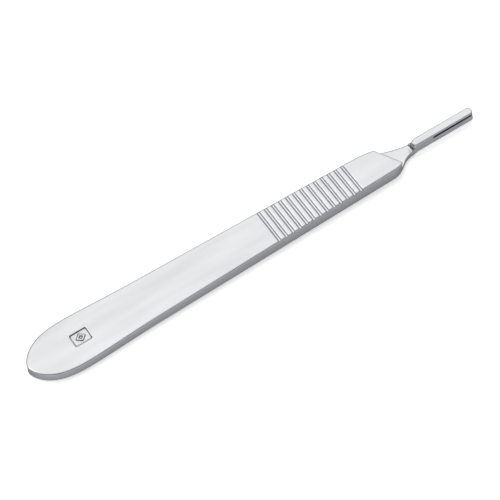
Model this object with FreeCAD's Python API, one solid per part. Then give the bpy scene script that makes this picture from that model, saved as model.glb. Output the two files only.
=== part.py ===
import FreeCAD, Part
import math
import os

from FreeCAD import Vector

# A flat surgical scalpel handle, machined from one bar of stainless steel.
# It lies on its back face. X runs from the butt to the blade end, Y across it and Z up.
# While it is drawn, X is 0 at the butt; the finished part is moved so that X is 0 at mid length.

# Overall size
overall_length = 125.0
fitting_length = 25.81
butt_thickness = 2.97
shoulder_thickness = 4.72

# Plan outline of the body
belly_width = 12.28
belly_x = 12.86
butt_bluntness = 1.6
butt_fullness = 2.78
waist_x = 30.32
waist_width = 10.89
flank_end_width = 7.83
saddle_points = ((0.35, 0.30), (0.66, 0.67))
edge_round = 0.32

# Grip grooves, the same on both faces
groove_count = 13
groove_setback = 10.9
groove_pitch = 1.966
groove_width = 0.84
groove_depth = 0.32
groove_lip_round = 0.14

# Oblique shoulder that the heel of the blade rests against; its corner rounds
# are given as multiples of the body's edge round, which runs over them
shoulder_skew = 30.0
far_corner_ratio = 1.8
near_corner_ratio = 1.2
corner_sweep = 50.0

# Neck, a tang that narrows from the shoulder to the blade fitting. Its places along
# the part, like those of the fitting, are measured from the middle of the shoulder.
# Its stock runs on into the rail's by the overlap.
seat_height = 2.285
neck_root = 2.0
neck_inset = 0.06
far_flare_lead = 8.05
far_flare_round = 32.8
far_flare_reach = 10.23
near_flare_lead = 0.69
near_flare_round = 6.6
near_flare_reach = 7.41
neck_overlap = 1.5
underside_height = 0.845
underside_reach = 8.5
underside_ramp = 27.0

# Blade fitting: a rail with an overhanging crown and a slot along each side
fitting_width = 2.01
crown_reach = 6.96
crown_height = 2.04
tip_lean = 14.0
crown_edge_round = 0.28
crown_rear_skew = 0.15
far_rear_cut = (1.2, 0.60)
near_rear_cut = (0.50, 0.38)
side_slot_reach = 12.8
side_slot_lift = 0.50
side_slot_height = 0.85
side_slot_depth = 0.62
side_slot_cutter_radius = 4.0
cove_radius = 0.45

# Sunk panel near the butt, with a plain raised lozenge in it
panel_x = 13.68
panel_length = 4.22
panel_width = 3.13
panel_depth = 0.28
panel_corner_round = 0.15
lozenge_length = 2.48
lozenge_width = 1.99
lozenge_line = 0.42

# Reach of the cutting shapes past the part
clear = 5.0

shoulder_x = overall_length - fitting_length
crown_rear_x = shoulder_x + crown_reach
rail_start_x = shoulder_x + max(far_flare_reach, near_flare_reach) + neck_overlap / 2
first_groove_x = shoulder_x - groove_setback - (groove_count - 1) * groove_pitch
taper = (shoulder_thickness - butt_thickness) / shoulder_x
taper_angle = math.degrees(math.atan(taper))
mid_slope = taper / 2
mid_angle = math.atan(mid_slope)
half_fitting = fitting_width / 2
flank_slope = (waist_width - flank_end_width) / 2 / (shoulder_x - waist_x)
lean = math.atan(flank_slope)
shoulder_slant = math.tan(math.radians(shoulder_skew))
crown_top = seat_height + crown_height
tip_slope = math.tan(math.radians(tip_lean))
flares = ((1, far_flare_lead, far_flare_round, far_flare_reach),
          (-1, near_flare_lead, near_flare_round, near_flare_reach))


def top_height(x):
    """Height of the tapered top face at a distance from the butt."""
    return butt_thickness + taper * x


def flank_half_width(x):
    """Half the body's width along its straight tapering flanks."""
    return waist_width / 2 - flank_slope * (x - waist_x)


def prism(edges, low, high):
    """Upright solid on a closed plan outline."""
    face = Part.Face(Part.Wire(edges))
    face.translate(Vector(0, 0, low))
    return face.extrude(Vector(0, 0, high - low))


def polygon(points):
    """Closed plan outline of straight edges."""
    corners = [Vector(x, y, 0) for x, y in points]
    return Part.makePolygon(corners + [corners[0]]).Edges


def three_point_arc(start, middle, end):
    return Part.Arc(start, middle, end).toShape()


def butt_curve():
    """One smooth curve from flank to flank: saddles, belly and the blunt rounded butt."""
    half = belly_width / 2
    side = []
    for share in (0.006, 0.05, 0.17, 0.37, 0.66, 1.0):
        rise = (1 - (1 - share) ** butt_fullness) ** (1 / butt_bluntness)
        side.append((belly_x * share, half * rise))
    for along, drop in saddle_points:
        x = belly_x + along * (waist_x - belly_x)
        side.append((x, half - drop * (half - waist_width / 2)))
    side.append((waist_x, waist_width / 2))
    points = [Vector(x, -y, 0) for x, y in reversed(side)]
    points.append(Vector(0, 0, 0))
    points += [Vector(x, y, 0) for x, y in side]
    curve = Part.BSplineCurve()
    curve.interpolate(Points=points,
                      InitialTangent=Vector(-1, -flank_slope, 0),
                      FinalTangent=Vector(1, -flank_slope, 0))
    return curve.toShape()


def turned_point(centre, radius, turned, side):
    """Point of a corner's turn, an angle on from where the turn leaves the flank."""
    angle = lean + turned
    return centre + Vector(math.sin(angle), side * math.cos(angle), 0) * radius


def corner_turn(start, radius, turned, side):
    """Convex arc that leaves a flank smoothly and turns through an angle."""
    centre = turned_point(start, -radius, 0, side)
    return three_point_arc(start, turned_point(centre, radius, turned / 2, side),
                           turned_point(centre, radius, turned, side))


def flare(start, radius, end_x, side):
    """Two tangent arcs from a flank to the fitting: a convex turn, then a long hollow."""
    centre = turned_point(start, -radius, 0, side)
    end = Vector(end_x, side * half_fitting, 0)
    run = end.x - centre.x
    fall = side * (end.y - centre.y)
    hollow_radius = (run ** 2 + fall ** 2 - radius ** 2) / (2 * (radius - fall))
    hollow_centre = end + Vector(0, side * hollow_radius, 0)
    link = hollow_centre - centre
    turned = math.atan2(link.x, side * link.y) - lean
    meet = turned_point(centre, radius, turned, side)
    middle = ((meet + end) * 0.5 - hollow_centre).normalize()
    hollow = three_point_arc(meet, hollow_centre + middle * hollow_radius, end)
    return [corner_turn(start, radius, turned, side), hollow]


def flank(side, lead, inset):
    """Straight flank from the waist to where its corner starts to turn."""
    x = shoulder_x - lead
    waist = Vector(waist_x, side * waist_width / 2, 0)
    return waist, Vector(x, side * (flank_half_width(x) - inset), 0)


def body_outline():
    """Plan of the body. Its corners turn on past the shoulder, where they are cut off."""
    edges = [butt_curve()]
    ends = []
    for side, lead, radius, _ in flares:
        waist, start = flank(side, lead, 0)
        turn = corner_turn(start, radius, math.radians(corner_sweep), side)
        edges += [Part.LineSegment(waist, start).toShape(), turn]
        ends.append(turn.Vertexes[-1].Point)
    edges.append(Part.LineSegment(*ends).toShape())
    return Part.__sortEdges__(edges)


def neck_outline():
    """Plan of the neck, from a little inside the body to where it is as slim as the rail."""
    edges = []
    roots = []
    ends = []
    for side, lead, radius, reach in flares:
        waist, start = flank(side, lead, neck_inset)
        end_x = shoulder_x + reach
        slim = Vector(end_x, side * half_fitting, 0)
        end = Vector(rail_start_x + neck_overlap, side * half_fitting, 0)
        edges.append(Part.LineSegment(waist, start).toShape())
        edges += flare(start, radius, end_x, side)
        edges.append(Part.LineSegment(slim, end).toShape())
        roots.append(waist)
        ends.append(end)
    edges.append(Part.LineSegment(*roots).toShape())
    edges.append(Part.LineSegment(*ends).toShape())
    return Part.__sortEdges__(edges)


def rail(high):
    """Stock for the rail and crown: a slim bar whose round tip leans back as it rises."""
    tip_x = overall_length + tip_slope * underside_at(overall_length)
    tip_centre = tip_x - half_fitting
    corners = [Vector(tip_centre, half_fitting, 0), Vector(rail_start_x, half_fitting, 0),
               Vector(rail_start_x, -half_fitting, 0), Vector(tip_centre, -half_fitting, 0)]
    edges = [Part.LineSegment(a, b).toShape() for a, b in zip(corners, corners[1:])]
    edges.append(three_point_arc(corners[-1], Vector(tip_x, 0, 0), corners[0]))
    return Part.Face(Part.Wire(edges)).extrude(Vector(-tip_slope * high, 0, high))


def wedge():
    """The bar's tapering thickness, flat underneath."""
    left = -clear
    right = overall_length + clear
    side = [Vector(left, -belly_width, 0),
            Vector(right, -belly_width, 0),
            Vector(right, -belly_width, top_height(right)),
            Vector(left, -belly_width, top_height(left))]
    face = Part.Face(Part.makePolygon(side + [side[0]]))
    return face.extrude(Vector(0, 2 * belly_width, 0))


def past_shoulder(setback):
    """Plan of everything past the oblique shoulder line, or past it moved back to the butt."""
    x = shoulder_x - setback
    slant = shoulder_slant * belly_width
    right = overall_length + clear
    return polygon([(x - slant, belly_width), (x + slant, -belly_width),
                    (right, -belly_width), (right, belly_width)])


def crown_plan():
    """Plan of the crown, with cut corners at the rear. It runs on past the rail's tip."""
    far_run, far_in = far_rear_cut
    near_run, near_in = near_rear_cut
    end_x = overall_length + clear
    near_x = crown_rear_x + crown_rear_skew
    return polygon([(end_x, half_fitting),
                    (crown_rear_x + far_run, half_fitting),
                    (crown_rear_x, half_fitting - far_in),
                    (near_x, near_in - half_fitting),
                    (near_x + near_run, -half_fitting),
                    (end_x, -half_fitting)])


def face_edges(solid, height_at, low_x, high_x):
    """Edges that lie in one face of the bar, between two distances from the butt."""
    found = []
    for edge in solid.Edges:
        ends = [v.Point for v in edge.Vertexes]
        if all(abs(p.z - height_at(p.x)) < 1e-4 and low_x <= p.x <= high_x for p in ends):
            found.append(edge)
    return found


def on_oblique(edge, x):
    """Whether an edge lies in the upright plane parallel to the shoulder through (x, 0)."""
    return all(abs(v.X + shoulder_slant * v.Y - x) < 1e-4 for v in edge.Vertexes)


def shoulder_corner(solid, side):
    """Upright edge where the shoulder's wall meets one flank."""
    for edge in solid.Edges:
        ends = [v.Point for v in edge.Vertexes]
        upright = abs(ends[0].z - ends[-1].z) > butt_thickness / 2
        if upright and on_oblique(edge, shoulder_x) and ends[0].y * side > 0:
            return edge


def on_mid_plane(shape):
    """Tip a shape drawn level until it lies along the mid-plane of the tapered bar."""
    placed = shape.copy()
    placed.rotate(Vector(crown_rear_x, 0, seat_height), Vector(0, 1, 0),
                  -math.degrees(mid_angle))
    return placed


def side_slot(side):
    """Slot along one side of the fitting, run out at its rear by a disc cutter."""
    inner = side * (half_fitting - side_slot_depth)
    outer = side * (half_fitting + clear)
    runout = math.sqrt(side_slot_cutter_radius ** 2
                       - (side_slot_cutter_radius - side_slot_depth) ** 2)
    cutter_x = shoulder_x + side_slot_reach + runout
    low = seat_height + side_slot_lift
    cutter_y = inner + side * side_slot_cutter_radius
    channel = prism(polygon([(cutter_x, inner), (overall_length + clear, inner),
                             (overall_length + clear, outer), (cutter_x, outer)]),
                    low, low + side_slot_height)
    disc = Part.makeCylinder(side_slot_cutter_radius, side_slot_height,
                             Vector(cutter_x, cutter_y, low))
    return channel.fuse(disc)


def cove():
    """Hollow rise of the neck's top to the foot of the crown's rear wall."""
    start = Vector(crown_rear_x - cove_radius, -belly_width, seat_height)
    bend = cove_radius * math.sqrt(0.5)
    middle = start + Vector(bend, 0, cove_radius - bend)
    end = start + Vector(cove_radius, 0, cove_radius)
    inside_x = crown_rear_x + far_rear_cut[0]
    corners = [end,
               Vector(inside_x, -belly_width, end.z),
               Vector(inside_x, -belly_width, seat_height - cove_radius),
               Vector(start.x, -belly_width, seat_height - cove_radius),
               start]
    edges = [Part.LineSegment(a, b).toShape() for a, b in zip(corners, corners[1:])]
    edges.append(three_point_arc(start, middle, end))
    return Part.Face(Part.Wire(edges)).extrude(Vector(0, 2 * belly_width, 0))


def underside():
    """What is milled away under the neck and rail, up a ramp from the flat back face."""
    x = shoulder_x + underside_reach
    fall = underside_height + clear
    start_x = x - fall / math.tan(math.radians(underside_ramp))
    end_x = overall_length + clear
    corners = [Vector(x, -belly_width, underside_height),
               Vector(end_x, -belly_width, underside_height),
               Vector(end_x, -belly_width, -clear),
               Vector(start_x, -belly_width, -clear)]
    face = Part.Face(Part.makePolygon(corners + [corners[0]]))
    return face.extrude(Vector(0, 2 * belly_width, 0))


def groove_comb():
    """Side profile of the row of grip grooves with rounded lips, cut as one sweep across."""
    half = groove_width / 2
    radius = (half ** 2 + groove_depth ** 2) / (2 * groove_depth)
    lip = groove_lip_round
    centre_z = radius - groove_depth
    link = radius + lip
    lip_x = math.sqrt(link ** 2 - (centre_z + lip) ** 2)
    meet_x = lip_x * radius / link
    meet_z = centre_z - (centre_z + lip) * radius / link
    swing = math.atan2(lip_x - meet_x, meet_z + lip) / 2
    lip_mid_x = lip_x - lip * math.sin(swing)
    lip_mid_z = lip * math.cos(swing) - lip
    edges = []
    above = Vector(-groove_pitch, 0, clear)
    last = Vector(-groove_pitch, 0, 0)
    edges.append(Part.LineSegment(above, last).toShape())
    for index in range(groove_count):
        x = index * groove_pitch
        start = Vector(x - lip_x, 0, 0)
        end = Vector(x + lip_x, 0, 0)
        dip_in = Vector(x - meet_x, 0, meet_z)
        dip_out = Vector(x + meet_x, 0, meet_z)
        edges.append(Part.LineSegment(last, start).toShape())
        edges.append(three_point_arc(start, Vector(x - lip_mid_x, 0, lip_mid_z), dip_in))
        edges.append(three_point_arc(dip_in, Vector(x, 0, -groove_depth), dip_out))
        edges.append(three_point_arc(dip_out, Vector(x + lip_mid_x, 0, lip_mid_z), end))
        last = end
    finish = Vector(groove_count * groove_pitch, 0, 0)
    far_above = Vector(finish.x, 0, clear)
    edges.append(Part.LineSegment(last, finish).toShape())
    edges.append(Part.LineSegment(finish, far_above).toShape())
    edges.append(Part.LineSegment(far_above, above).toShape())
    face = Part.Face(Part.Wire(edges))
    face.translate(Vector(0, -belly_width, 0))
    return face.extrude(Vector(0, 2 * belly_width, 0))


def on_top_face(shape, x):
    """Place a shape drawn on a level plane onto the tapering top face."""
    placed = shape.copy()
    placed.rotate(Vector(0, 0, 0), Vector(0, 1, 0), -taper_angle)
    placed.translate(Vector(x, 0, top_height(x)))
    return placed


def on_back_face(shape, x):
    """Place a shape drawn on a level plane onto the flat back face, pointing down."""
    placed = shape.copy()
    placed.rotate(Vector(0, 0, 0), Vector(1, 0, 0), 180)
    placed.translate(Vector(x, 0, 0))
    return placed


def sunk_panel():
    """Shallow rectangular recess that leaves a raised lozenge line in its middle."""
    recess = Part.makeBox(panel_length, panel_width, panel_depth + clear,
                          Vector(-panel_length / 2, -panel_width / 2, -panel_depth))
    upright = [edge for edge in recess.Edges
               if abs(edge.Vertexes[0].Z - edge.Vertexes[-1].Z) > panel_depth]
    recess = recess.makeFillet(panel_corner_round, upright)
    long_half = lozenge_length / 2
    wide_half = lozenge_width / 2
    inner = 1 - lozenge_line * math.hypot(long_half, wide_half) / (long_half * wide_half)
    outer_edges = polygon([(long_half, 0), (0, wide_half), (-long_half, 0), (0, -wide_half)])
    inner_edges = polygon([(long_half * inner, 0), (0, wide_half * inner),
                           (-long_half * inner, 0), (0, -wide_half * inner)])
    ridge = prism(outer_edges, -panel_depth - clear, -panel_depth / 4)
    ridge = ridge.cut(prism(inner_edges, -panel_depth - 2 * clear, clear))
    return recess.cut(ridge)


def crown_top_at(x):
    """Height of the crown's top face at a distance from the butt."""
    return seat_height + crown_height / math.cos(mid_angle) + mid_slope * (x - crown_rear_x)


def underside_at(x):
    """Height of the rail's underside at a distance from the butt."""
    drop = (seat_height - underside_height) / math.cos(mid_angle)
    return seat_height - drop + mid_slope * (x - crown_rear_x)


def body():
    """Full-thickness part of the bar, up to the shoulder, with its rounded edges."""
    high = top_height(overall_length) + clear
    solid = prism(body_outline(), 0, high).common(wedge())
    solid = solid.cut(prism(past_shoulder(0), -clear, high))
    for side, ratio in ((1, far_corner_ratio), (-1, near_corner_ratio)):
        solid = solid.makeFillet(ratio * edge_round, [shoulder_corner(solid, side)])
    rim = face_edges(solid, top_height, 0, overall_length)
    rim += face_edges(solid, lambda x: 0.0, 0, overall_length)
    return solid.makeFillet(edge_round, rim)


def fitting():
    """Neck, rail and crown, from inside the body to the tip."""
    high = crown_top + clear
    root = prism(past_shoulder(neck_root), -clear, high)
    stock = prism(neck_outline(), 0, high).common(root)
    root_x = shoulder_x - neck_root
    rim = [edge for edge in face_edges(stock, lambda x: 0.0, 0, overall_length)
           if not on_oblique(edge, root_x) and edge.BoundBox.XMin < rail_start_x]
    stock = stock.makeFillet(edge_round, rim).fuse(rail(high))
    neck = prism(past_shoulder(neck_root), -clear, seat_height).fuse(cove())
    crown = prism(crown_plan(), -clear, crown_top)
    solid = stock.common(on_mid_plane(neck.fuse(crown)))
    solid = solid.cut(on_mid_plane(underside()))
    crown_rim = face_edges(solid, crown_top_at, 0, overall_length)
    return solid.makeFillet(crown_edge_round, crown_rim)


def handle():
    solid = body().fuse(fitting())
    comb = groove_comb()
    cuts = [on_mid_plane(side_slot(1)), on_mid_plane(side_slot(-1)),
            on_top_face(comb, first_groove_x),
            on_back_face(comb, first_groove_x),
            on_top_face(sunk_panel(), panel_x)]
    solid = solid.cut(cuts)
    solid.translate(Vector(-overall_length / 2, 0, 0))
    return solid


os.makedirs("parts", exist_ok=True)
solid = handle()
if solid.ShapeType == "Compound" and len(solid.Solids) == 1:
    solid = solid.Solids[0]
print("solids", len(solid.Solids), "valid", solid.isValid(), "volume", round(solid.Volume, 1))
box = solid.BoundBox
print("size", round(box.XLength, 3), round(box.YLength, 3), round(box.ZLength, 3))
solid.exportStep("parts/scalpel_handle.step")
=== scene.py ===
import math

import bmesh
import bpy
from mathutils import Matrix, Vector

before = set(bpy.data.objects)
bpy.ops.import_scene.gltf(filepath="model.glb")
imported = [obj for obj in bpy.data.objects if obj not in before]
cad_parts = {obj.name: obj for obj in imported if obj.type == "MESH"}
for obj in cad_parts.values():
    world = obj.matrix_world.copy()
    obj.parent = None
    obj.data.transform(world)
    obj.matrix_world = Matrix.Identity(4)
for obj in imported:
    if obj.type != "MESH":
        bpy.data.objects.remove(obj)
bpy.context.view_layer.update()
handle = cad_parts["scalpel_handle"]

MM = 0.001

# Steel finish
EDGE_SOFTNESS = 0.5 * MM
GRIND_LENGTH = 15 * MM
GRIND_SPACING = 0.2 * MM
GRIND_DEPTH = 0.004 * MM
BAND_LENGTH = 30 * MM
BAND_WIDTH = 4 * MM
# How far the painted shade in the recesses reaches
OCCLUSION_SHADE_REACH = 1.3 * MM

# Floor, a little below the handle so that the two surfaces don't flicker
FLOOR_RADIUS = 3.0
FLOOR_GAP = 0.02 * MM
# With the light on it, this much glow makes the paper look white
FLOOR_LIFT = 0.40

# Directions from the handle towards the lights
SOFTBOX_WAY = (-0.36, 0.36, 0.861)
LAMP_WAY = (-0.10, 0.24, 0.965)

# Camera of the photograph
CAMERA_PLACE = (-0.110913, -0.151384, 0.324271)
CAMERA_TURN = (29.665, -0.837, -34.0092)
FOCAL_LENGTH = 115.2
SENSOR_WIDTH = 36.0


# Colours and node helper
def paint(hex_code):
    """Linear colour of an sRGB hex value."""
    channels = []
    for start in (0, 2, 4):
        value = int(hex_code[start:start + 2], 16) / 255
        if value <= 0.04045:
            channels.append(value / 12.92)
        else:
            channels.append(((value + 0.055) / 1.055) ** 2.4)
    return (*channels, 1.0)


def add(tree, kind, settings=None, values=None, links=None):
    """Add one node with its settings, its fixed inputs and the sockets that feed the others."""
    node = tree.nodes.new(kind)
    for name, value in (settings or {}).items():
        setattr(node, name, value)
    for name, value in (values or {}).items():
        node.inputs[name].default_value = value
    for name, socket in (links or {}).items():
        tree.links.new(socket, node.inputs[name])
    return node


def new_material(name):
    """Empty node material and its tree."""
    material = bpy.data.materials.new(name)
    material.use_nodes = True
    material.node_tree.nodes.clear()
    return material, material.node_tree


# Stainless steel, ground along its length
def satin_stainless():
    """Martensitic stainless bar whose two faces are belt ground along the handle.

    The grinding leaves fine lengthwise lines that break up the reflection of the
    sky into soft streaks. The belt doesn't reach the sides, the slots, the panel's
    edges and the groove walls, which keep a rougher tumbled finish. These steep
    surfaces are also coloured darker and their glancing reflection is dimmed, both
    as painted shade, and the recesses get a painted shade from ambient occlusion.
    """
    material, tree = new_material("stainless_steel_satin_ground")
    place = add(tree, "ShaderNodeTexCoord")
    # Tumbling softens every edge
    softened = add(tree, "ShaderNodeBevel", {"samples": 8}, {"Radius": EDGE_SOFTNESS})
    normal = add(tree, "ShaderNodeSeparateXYZ", links={"Vector": softened.outputs["Normal"]})
    upness = add(tree, "ShaderNodeMath", {"operation": "ABSOLUTE"}, links={0: normal.outputs["Z"]})
    # 1 on the ground faces, 0 on everything steep; it sets the roughness and also where the
    # painted shade on steep surfaces goes
    faces = add(tree, "ShaderNodeMapRange", {"interpolation_type": "SMOOTHSTEP"},
                {"From Min": 0.80, "From Max": 0.985}, {"Value": upness.outputs["Value"]})

    # Fine grinding lines
    along = add(tree, "ShaderNodeMapping",
                values={"Scale": (1 / GRIND_LENGTH, 1 / GRIND_SPACING, 1 / GRIND_SPACING)},
                links={"Vector": place.outputs["Object"]})
    lines = add(tree, "ShaderNodeTexNoise", values={"Scale": 1.0, "Detail": 3.0, "Roughness": 0.6},
                links={"Vector": along.outputs["Vector"]})
    # Broad soft bands where the belt pressed unevenly
    broad = add(tree, "ShaderNodeMapping",
                values={"Scale": (1 / BAND_LENGTH, 1 / BAND_WIDTH, 1 / BAND_WIDTH)},
                links={"Vector": place.outputs["Object"]})
    bands = add(tree, "ShaderNodeTexNoise", values={"Scale": 1.0, "Detail": 2.0},
                links={"Vector": broad.outputs["Vector"]})

    tone = add(tree, "ShaderNodeMapRange",
               values={"From Min": 0.3, "From Max": 0.7, "To Min": 0.0, "To Max": 1.0},
               links={"Value": bands.outputs["Fac"]})
    face_colour = add(tree, "ShaderNodeMix", {"data_type": "RGBA"},
                      {"A": paint("e2e3e5"), "B": paint("f1f1f3")},
                      {"Factor": tone.outputs["Result"]})
    # Painted shade: the steep sides, edges and groove walls are coloured darker grey than the
    # ground faces
    face_tone_and_steep_shade = add(tree, "ShaderNodeMix", {"data_type": "RGBA"}, {"A": paint("acadb1")},
                 {"Factor": faces.outputs["Result"], "B": face_colour.outputs["Result"]})

    # Painted shade: ambient occlusion paints the corners, slots and groove bottoms nearly black
    shelter = add(tree, "ShaderNodeAmbientOcclusion", {"samples": 8, "only_local": True},
                  {"Distance": OCCLUSION_SHADE_REACH})
    open_air = add(tree, "ShaderNodeMapRange", {"interpolation_type": "SMOOTHSTEP"},
                   {"From Min": 0.50, "From Max": 0.84, "To Min": 0.0, "To Max": 1.0},
                   {"Value": shelter.outputs["AO"]})
    recess_shaded_colour = add(tree, "ShaderNodeMix", {"data_type": "RGBA"}, {"A": paint("202022")},
               {"Factor": open_air.outputs["Result"], "B": face_tone_and_steep_shade.outputs["Result"]})
    rough = add(tree, "ShaderNodeMapRange", values={"To Min": 0.42, "To Max": 0.30},
                links={"Value": faces.outputs["Result"]})
    bump = add(tree, "ShaderNodeBump", values={"Strength": 0.25, "Distance": GRIND_DEPTH},
               links={"Height": lines.outputs["Fac"], "Normal": softened.outputs["Normal"]})
    # Painted shade in the reflection: the steep surfaces get a dark specular tint, so their
    # glancing reflection stays dim, while the ground faces flare up
    glancing_reflection_shade = add(tree, "ShaderNodeMix", {"data_type": "RGBA"},
                  {"A": paint("5a5a5a"), "B": paint("ffffff")},
                  {"Factor": faces.outputs["Result"]})
    metal = add(tree, "ShaderNodeBsdfPrincipled", values={"Metallic": 1.0},
                links={"Base Color": recess_shaded_colour.outputs["Result"],
                       "Specular Tint": glancing_reflection_shade.outputs["Result"],
                       "Roughness": rough.outputs["Result"],
                       "Normal": bump.outputs["Normal"]})
    add(tree, "ShaderNodeOutputMaterial", links={"Surface": metal.outputs["BSDF"]})
    return material


def floor_white():
    """Matt white sweep: the camera and reflections see it lifted to white, its shadows stay."""
    material, tree = new_material("matt_white_paper_sweep")
    light = add(tree, "ShaderNodeLightPath")
    seen = add(tree, "ShaderNodeMath", {"operation": "MAXIMUM"},
               links={0: light.outputs["Is Camera Ray"], 1: light.outputs["Is Glossy Ray"]})
    shown = add(tree, "ShaderNodeMath", {"operation": "MAXIMUM"},
                links={0: seen.outputs["Value"], 1: light.outputs["Is Transmission Ray"]})
    lift = add(tree, "ShaderNodeMath", {"operation": "MULTIPLY"}, {1: FLOOR_LIFT},
               {0: shown.outputs["Value"]})
    paper = add(tree, "ShaderNodeBsdfPrincipled",
                values={"Base Color": paint("f0f0f0"), "Roughness": 0.9,
                        "Emission Color": paint("ffffff")},
                links={"Emission Strength": lift.outputs["Value"]})
    add(tree, "ShaderNodeOutputMaterial", links={"Surface": paper.outputs["BSDF"]})
    return material


def light_tent():
    """Soft tent of light: bright overhead, dim towards the horizon and dimmer in front."""
    world = bpy.data.worlds.new("light_tent")
    world.use_nodes = True
    sky = world.node_tree
    sky.nodes.clear()
    way = add(sky, "ShaderNodeTexCoord")
    parts = add(sky, "ShaderNodeSeparateXYZ", links={"Vector": way.outputs["Generated"]})
    height = add(sky, "ShaderNodeMapRange", {"interpolation_type": "SMOOTHSTEP"},
                 {"From Min": 0.10, "From Max": 0.95, "To Min": 0.30, "To Max": 1.10},
                 {"Value": parts.outputs["Z"]})
    side = add(sky, "ShaderNodeMapRange", {"interpolation_type": "SMOOTHSTEP"},
               {"From Min": -0.6, "From Max": 0.1, "To Min": 0.55, "To Max": 1.0},
               {"Value": parts.outputs["Y"]})
    ahead = add(sky, "ShaderNodeMapRange",
                values={"From Min": -0.2, "From Max": 0.4, "To Min": 0.80, "To Max": 1.0},
                links={"Value": parts.outputs["X"]})
    level = add(sky, "ShaderNodeMath", {"operation": "MULTIPLY"},
                links={0: height.outputs["Result"], 1: side.outputs["Result"]})
    tent = add(sky, "ShaderNodeMath", {"operation": "MULTIPLY"},
               links={0: level.outputs["Value"], 1: ahead.outputs["Result"]})
    # Round softbox up on the butt's side, whose soft edge spans these cosines
    aim = add(sky, "ShaderNodeVectorMath", {"operation": "DOT_PRODUCT"},
              {1: SOFTBOX_WAY}, {0: way.outputs["Generated"]})
    softbox = add(sky, "ShaderNodeMapRange", {"interpolation_type": "SMOOTHSTEP"},
                  {"From Min": 0.965, "From Max": 0.992, "To Min": 0.0, "To Max": 2.0},
                  {"Value": aim.outputs["Value"]})
    glow = add(sky, "ShaderNodeMath", {"operation": "ADD"},
               links={0: tent.outputs["Value"], 1: softbox.outputs["Result"]})
    backdrop = add(sky, "ShaderNodeBackground", values={"Color": paint("ffffff")},
                   links={"Strength": glow.outputs["Value"]})
    add(sky, "ShaderNodeOutputWorld", links={"Surface": backdrop.outputs["Background"]})
    return world


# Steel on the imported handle
handle.data.materials.clear()
handle.data.materials.append(satin_stainless())

# Floor that the handle lies on
floor_mesh = bpy.data.meshes.new("floor")
shape = bmesh.new()
bmesh.ops.create_circle(shape, cap_ends=True, segments=64, radius=FLOOR_RADIUS)
bmesh.ops.translate(shape, verts=shape.verts, vec=(0, 0, -FLOOR_GAP))
shape.to_mesh(floor_mesh)
shape.free()
floor = bpy.data.objects.new("floor", floor_mesh)
bpy.context.scene.collection.objects.link(floor)
floor_mesh.materials.append(floor_white())

bpy.context.scene.world = light_tent()

# Soft overhead lamp behind the handle, for the short shadow in front of it
lamp_data = bpy.data.lights.new("softbox", "SUN")
lamp_data.energy = 1.0
lamp_data.angle = math.radians(28)
lamp = bpy.data.objects.new("softbox", lamp_data)
bpy.context.scene.collection.objects.link(lamp)
lamp.rotation_euler = Vector(LAMP_WAY).to_track_quat("Z", "Y").to_euler()
lamp.visible_glossy = False

# Camera at the photograph's viewing angle
lens_data = bpy.data.cameras.new("camera")
lens_data.lens = FOCAL_LENGTH
lens_data.sensor_width = SENSOR_WIDTH
lens_data.clip_start = 0.01
lens_data.clip_end = 20.0
camera = bpy.data.objects.new("camera", lens_data)
bpy.context.scene.collection.objects.link(camera)
camera.location = CAMERA_PLACE
camera.rotation_euler = [math.radians(angle) for angle in CAMERA_TURN]
bpy.context.scene.camera = camera
bpy.context.scene.view_settings.view_transform = "Standard"
